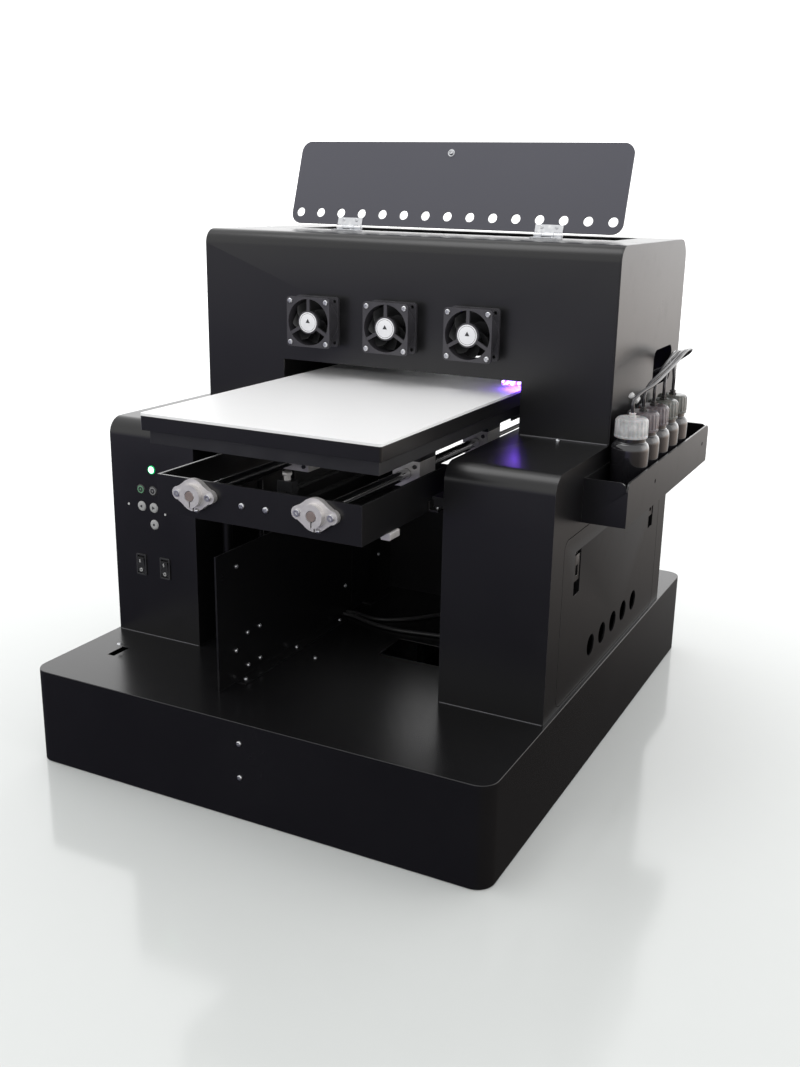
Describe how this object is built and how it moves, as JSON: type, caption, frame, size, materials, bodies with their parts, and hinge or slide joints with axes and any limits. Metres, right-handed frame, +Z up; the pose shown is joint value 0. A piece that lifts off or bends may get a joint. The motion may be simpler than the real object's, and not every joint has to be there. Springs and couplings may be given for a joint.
{
  "type": "flatbed uv printer",
  "caption": "Desktop flatbed UV printer: wide base, two towers and a fan-cooled housing over a sliding, lifting print bed, with an open top lid and a side ink tray.",
  "frame": {"origin": "centre of the base's underside, on the surface it stands on", "axes": "+X to the right seen from the front, +Y to the back, +Z up"},
  "size_m": [0.622, 0.7268, 0.7144],
  "materials": {
    "black_sheet": "satin black powder coat on folded sheet",
    "lid_sheet": "semi-gloss charcoal powder coat",
    "bright_steel": "polished steel shafts and pins",
    "zinc_steel": "zinc plated",
    "cast_aluminium": "fine bead blasted casting",
    "black_aluminium": "black anodised",
    "motor_case": "black motor stack",
    "belt_rubber": "toothed belt",
    "fan_plastic": "moulded black plastic",
    "switch_plastic": "moulded black plastic",
    "button_plastic": "grey moulded keys",
    "led_green": "lit green lens",
    "latch_metal": "dark plated",
    "bottle_plastic": "glossy black bottle",
    "cap_plastic": "ribbed grey cap",
    "tube_plastic": "glossy ink tube",
    "cable_jacket": "black cable jacket",
    "bed_white": "smooth white bed plate",
    "board_green": "circuit board",
    "supply_case": "perforated steel case",
    "head_case": "dark grey head",
    "lamp_glass": "lit violet lamp"
  },
  "bodies": {
    "chassis": {"base_cover": "black_sheet", "base_plate": "black_sheet", "left_cover": "black_sheet", "right_cover": "black_sheet", "inner_panels": "black_sheet", "rear_panel": "black_sheet", "housing_cover": "black_sheet", "housing_sides": "black_sheet", "top_panel": "black_sheet", "lid_hinge_bases": "zinc_steel", "fan_frames": "fan_plastic", "panel_leds": "led_green", "rocker_bezels": "switch_plastic", "bottle_tray": "black_sheet", "ink_bottles": "bottle_plastic", "bottle_caps": "cap_plastic", "ink_tubes": "tube_plastic", "lift_rods": "bright_steel", "lift_mounts": "black_aluminium", "stepper_motors": "motor_case", "x_rail": "cast_aluminium", "x_belt": "belt_rubber", "capping_station": "switch_plastic", "mainboard": "board_green", "power_supply": "supply_case", "rear_sockets": "switch_plastic", "chassis_screws": "zinc_steel", "floor_cables": "cable_jacket"},
    "top_lid": {"lid": "lid_sheet", "lid_hinge_leaves": "zinc_steel"},
    "fan_left": {"fan_rotor_left": "fan_plastic"},
    "fan_middle": {"fan_rotor_middle": "fan_plastic"},
    "fan_right": {"fan_rotor_right": "fan_plastic"},
    "key_up": {"button_up": "button_plastic"},
    "key_down": {"button_down": "button_plastic"},
    "key_back": {"button_back": "button_plastic"},
    "key_forward": {"button_forward": "button_plastic"},
    "key_home": {"button_home": "button_plastic"},
    "switch_left": {"rocker_left": "switch_plastic"},
    "switch_right": {"rocker_right": "switch_plastic"},
    "door": {"side_door": "black_sheet"},
    "front_latch": {"latch_front": "latch_metal"},
    "rear_latch": {"latch_rear": "latch_metal"},
    "lift": {"y_frame": "black_sheet", "shaft_supports": "cast_aluminium", "y_rods": "bright_steel", "lift_arms": "black_aluminium", "y_motor": "motor_case", "y_belt": "belt_rubber"},
    "bed": {"bed_top": "bed_white", "bed_skirt": "black_sheet", "bed_carrier": "black_aluminium", "bearing_blocks": "cast_aluminium"},
    "bed_drive": {"y_pulley": "bright_steel"},
    "left_screw": {"lift_screw_left": "bright_steel"},
    "right_screw": {"lift_screw_right": "bright_steel"},
    "carriage": {"x_carriage": "black_aluminium", "print_head": "head_case", "uv_lamp": "lamp_glass"},
    "carriage_drive": {"x_pulley": "bright_steel"}
  },
  "joints": [
    {"name": "lid_hinge", "type": "hinge", "parent": "chassis", "child": "top_lid", "pos_m": [0.017, 0.0775, 0.6062], "axis": [1, 0, 0], "range_deg": [-72, 25]},
    {"name": "fan_spin_left", "type": "hinge", "parent": "chassis", "child": "fan_left", "pos_m": [-0.095, -0.0675, 0.498], "axis": [0, 1, 0], "continuous": true},
    {"name": "fan_spin_middle", "type": "hinge", "parent": "chassis", "child": "fan_middle", "pos_m": [0.011, -0.0675, 0.498], "axis": [0, 1, 0], "continuous": true},
    {"name": "fan_spin_right", "type": "hinge", "parent": "chassis", "child": "fan_right", "pos_m": [0.117, -0.0675, 0.498], "axis": [0, 1, 0], "continuous": true},
    {"name": "press_up", "type": "slide", "parent": "chassis", "child": "key_up", "axis": [0, 1, 0], "range_m": [0, 0.0012], "stiffness_N_per_m": 300, "springref_m": -0.001},
    {"name": "press_down", "type": "slide", "parent": "chassis", "child": "key_down", "axis": [0, 1, 0], "range_m": [0, 0.0012], "stiffness_N_per_m": 300, "springref_m": -0.001},
    {"name": "press_back", "type": "slide", "parent": "chassis", "child": "key_back", "axis": [0, 1, 0], "range_m": [0, 0.0012], "stiffness_N_per_m": 300, "springref_m": -0.001},
    {"name": "press_forward", "type": "slide", "parent": "chassis", "child": "key_forward", "axis": [0, 1, 0], "range_m": [0, 0.0012], "stiffness_N_per_m": 300, "springref_m": -0.001},
    {"name": "press_home", "type": "slide", "parent": "chassis", "child": "key_home", "axis": [0, 1, 0], "range_m": [0, 0.0012], "stiffness_N_per_m": 300, "springref_m": -0.001},
    {"name": "rocker_left_tilt", "type": "hinge", "parent": "chassis", "child": "switch_left", "pos_m": [-0.245, -0.2115, 0.206], "axis": [1, 0, 0], "range_deg": [-16, 0]},
    {"name": "rocker_right_tilt", "type": "hinge", "parent": "chassis", "child": "switch_right", "pos_m": [-0.209, -0.2115, 0.206], "axis": [1, 0, 0], "range_deg": [-16, 0]},
    {"name": "door_lift_off", "type": "slide", "parent": "chassis", "child": "door", "axis": [1, 0, 0], "range_m": [0, 0.12]},
    {"name": "latch_front_turn", "type": "hinge", "parent": "door", "child": "front_latch", "pos_m": [0.2795, -0.1295, 0.281], "axis": [0, 1, 0], "range_deg": [-50, 0]},
    {"name": "latch_rear_turn", "type": "hinge", "parent": "door", "child": "rear_latch", "pos_m": [0.2795, 0.1685, 0.281], "axis": [0, 1, 0], "range_deg": [-50, 0]},
    {"name": "lift_height", "type": "slide", "parent": "chassis", "child": "lift", "axis": [0, 0, 1], "range_m": [-0.05, 0.006]},
    {"name": "bed_travel", "type": "slide", "parent": "lift", "child": "bed", "axis": [0, 1, 0], "range_m": [-0.1, 0.27]},
    {"name": "bed_pulley_spin", "type": "hinge", "parent": "lift", "child": "bed_drive", "pos_m": [0.0185, 0.3125, 0.345], "axis": [1, 0, 0], "range_deg": [-2000, 800]},
    {"name": "left_screw_spin", "type": "hinge", "parent": "chassis", "child": "left_screw", "pos_m": [-0.1385, -0.1125, 0.114], "axis": [0, 0, 1], "range_deg": [-300, 2300]},
    {"name": "right_screw_spin", "type": "hinge", "parent": "chassis", "child": "right_screw", "pos_m": [0.2015, -0.1125, 0.114], "axis": [0, 0, 1], "range_deg": [-300, 2300]},
    {"name": "carriage_travel", "type": "slide", "parent": "chassis", "child": "carriage", "axis": [1, 0, 0], "range_m": [-0.37, 0.03]},
    {"name": "carriage_pulley_spin", "type": "hinge", "parent": "chassis", "child": "carriage_drive", "pos_m": [-0.2285, 0.0495, 0.524], "axis": [0, 1, 0], "range_deg": [-250, 2800]}
  ],
  "couplings": [
    {"joint": "bed_pulley_spin", "follows": "bed_travel", "rad_per_m": -125},
    {"joint": "left_screw_spin", "follows": "lift_height", "rad_per_m": -785.4},
    {"joint": "right_screw_spin", "follows": "lift_height", "rad_per_m": -785.4},
    {"joint": "carriage_pulley_spin", "follows": "carriage_travel", "rad_per_m": -125}
  ]
}
